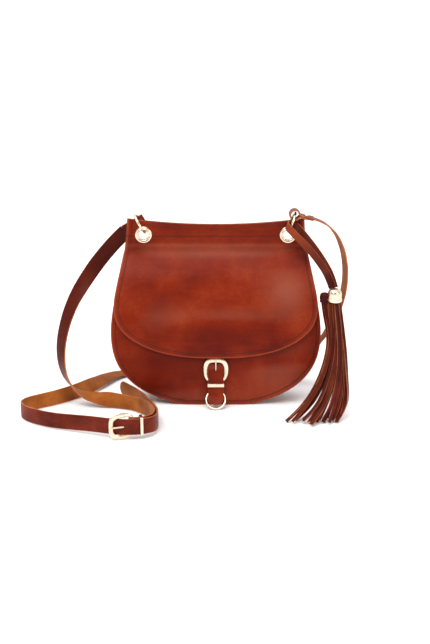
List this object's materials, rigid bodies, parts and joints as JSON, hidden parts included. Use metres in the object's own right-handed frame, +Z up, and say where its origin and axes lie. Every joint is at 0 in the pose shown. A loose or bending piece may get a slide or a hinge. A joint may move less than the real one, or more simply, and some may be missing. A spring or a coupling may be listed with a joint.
{
  "type": "sling bag",
  "caption": "Saddle-shaped leather sling bag with a buckled flap, grommeted corners, rings, a two-piece buckled shoulder strap and a fringed tassel.",
  "frame": {"origin": "middle of the flat of the gusset's base, where the bag stands", "axes": "+Z up, -Y out of the flap, +X to the tassel's side"},
  "size_m": [0.4239, 0.2749, 0.2521],
  "materials": {
    "body_leather": "semi-gloss, smooth",
    "strap_leather": "smooth outside, raw suede inside",
    "tassel_leather": "smooth",
    "pale_gold": "polished, pale gold plated",
    "steel_snap": "plated"
  },
  "bodies": {
    "bag": {"back_panel": "body_leather", "front_panel": "body_leather", "gusset": "body_leather", "flap_band": "body_leather", "grommet_left_eyelet": "pale_gold", "grommet_left_washer": "pale_gold", "grommet_right_eyelet": "pale_gold", "grommet_right_washer": "pale_gold", "snap_socket": "steel_snap", "snap_socket_plate": "steel_snap", "strap_short": "strap_leather", "strap_short_fold": "strap_leather", "strap_short_rivet": "pale_gold", "strap_short_chape": "strap_leather", "strap_long": "strap_leather", "strap_long_fold": "strap_leather", "strap_long_rivet": "pale_gold", "strap_buckle_frame": "pale_gold"},
    "ring_left": {"ring_left": "pale_gold"},
    "ring_right": {"ring_right": "pale_gold"},
    "flap": {"flap": "body_leather", "closure_strap": "body_leather", "closure_buckle_frame": "pale_gold", "closure_chape": "body_leather", "snap_stud": "steel_snap"},
    "closure_prong": {"closure_prong": "pale_gold"},
    "closure_keeper": {"closure_keeper": "pale_gold"},
    "closure_ring": {"closure_ring": "pale_gold"},
    "strap_prong": {"strap_prong": "pale_gold"},
    "strap_keeper": {"strap_keeper": "pale_gold"},
    "lace": {"tassel_lace": "tassel_leather"},
    "tassel": {"tassel_cap": "pale_gold", "tassel_head": "tassel_leather", "tassel_fringe": "tassel_leather", "tassel_second_fringe": "tassel_leather"}
  },
  "joints": [
    {"name": "flap_open", "type": "hinge", "parent": "bag", "child": "flap", "pos_m": [0, 0.02455, 0.206], "axis": [-1, 0, 0], "range_deg": [0, 42]},
    {"name": "lace_aside", "type": "hinge", "parent": "bag", "child": "lace", "pos_m": [0.0998, 0.012, 0.229], "axis": [0, -1, 0], "range_deg": [0, 21]},
    {"name": "tassel_swing", "type": "hinge", "parent": "lace", "child": "tassel", "pos_m": [0.15, -0.037, 0.161], "axis": [-1, 0, 0], "range_deg": [0, 25]},
    {"name": "ring_left_spin", "type": "hinge", "parent": "bag", "child": "ring_left", "pos_m": [-0.0995, 0.0257, 0.2325], "axis": [0.866, 0, 0.5], "continuous": true},
    {"name": "ring_right_spin", "type": "hinge", "parent": "bag", "child": "ring_right", "pos_m": [0.0998, 0.0257, 0.2346], "axis": [0.9292, 0, -0.3697], "continuous": true},
    {"name": "closure_prong_lift", "type": "hinge", "parent": "flap", "child": "closure_prong", "pos_m": [0, -0.0369, 0.0378], "axis": [1, 0, 0], "range_deg": [0, 12]},
    {"name": "closure_keeper_slide", "type": "slide", "parent": "flap", "child": "closure_keeper", "axis": [0, 0, 1], "range_m": [-0.002, 0.001]},
    {"name": "closure_ring_swing", "type": "hinge", "parent": "flap", "child": "closure_ring", "pos_m": [0, -0.0369, 0.0224], "axis": [-1, 0, 0], "range_deg": [0, 2]},
    {"name": "strap_prong_lift", "type": "hinge", "parent": "bag", "child": "strap_prong", "pos_m": [-0.101, -0.1465, 0.0166], "axis": [0, 0, 1], "range_deg": [0, 12]},
    {"name": "strap_keeper_slide", "type": "slide", "parent": "bag", "child": "strap_keeper", "axis": [-0.9703, -0.2419, 0], "range_m": [-0.0015, 0.002]}
  ],
  "couplings": [
    {"joint": "lace_aside", "follows": "flap_open", "ratio": 0.5}
  ]
}
